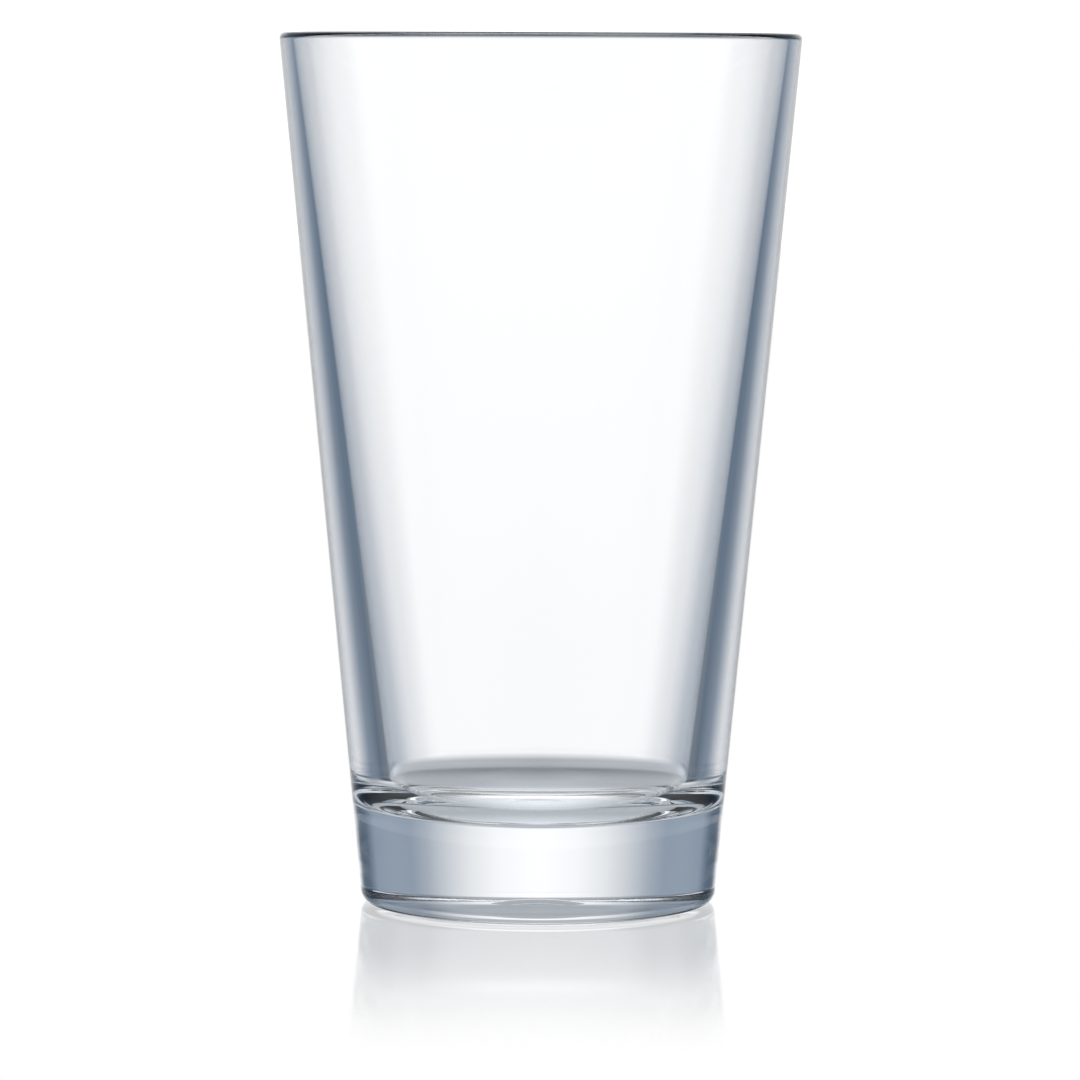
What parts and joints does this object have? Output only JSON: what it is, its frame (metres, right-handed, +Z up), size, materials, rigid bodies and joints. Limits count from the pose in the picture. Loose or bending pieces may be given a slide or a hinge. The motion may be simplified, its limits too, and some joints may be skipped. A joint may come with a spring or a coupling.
{
  "type": "mixing glass",
  "caption": "Clear tapered mixing glass with a thick solid base and a rounded rim, for stirring drinks over ice and for sealing into a metal shaker tin.",
  "frame": {"origin": "centre of the foot, on the plane that the glass stands on", "axes": "+Z up along the glass's axis, from the foot to the open rim; X and Y are free, because the glass is round"},
  "size_m": [0.089, 0.089, 0.149],
  "materials": {
    "clear_glass": "clear and colourless, smooth and polished, faintly blue-grey through the thick base"
  },
  "bodies": {
    "root": {"mixing_glass": "clear_glass"}
  },
  "joints": []
}
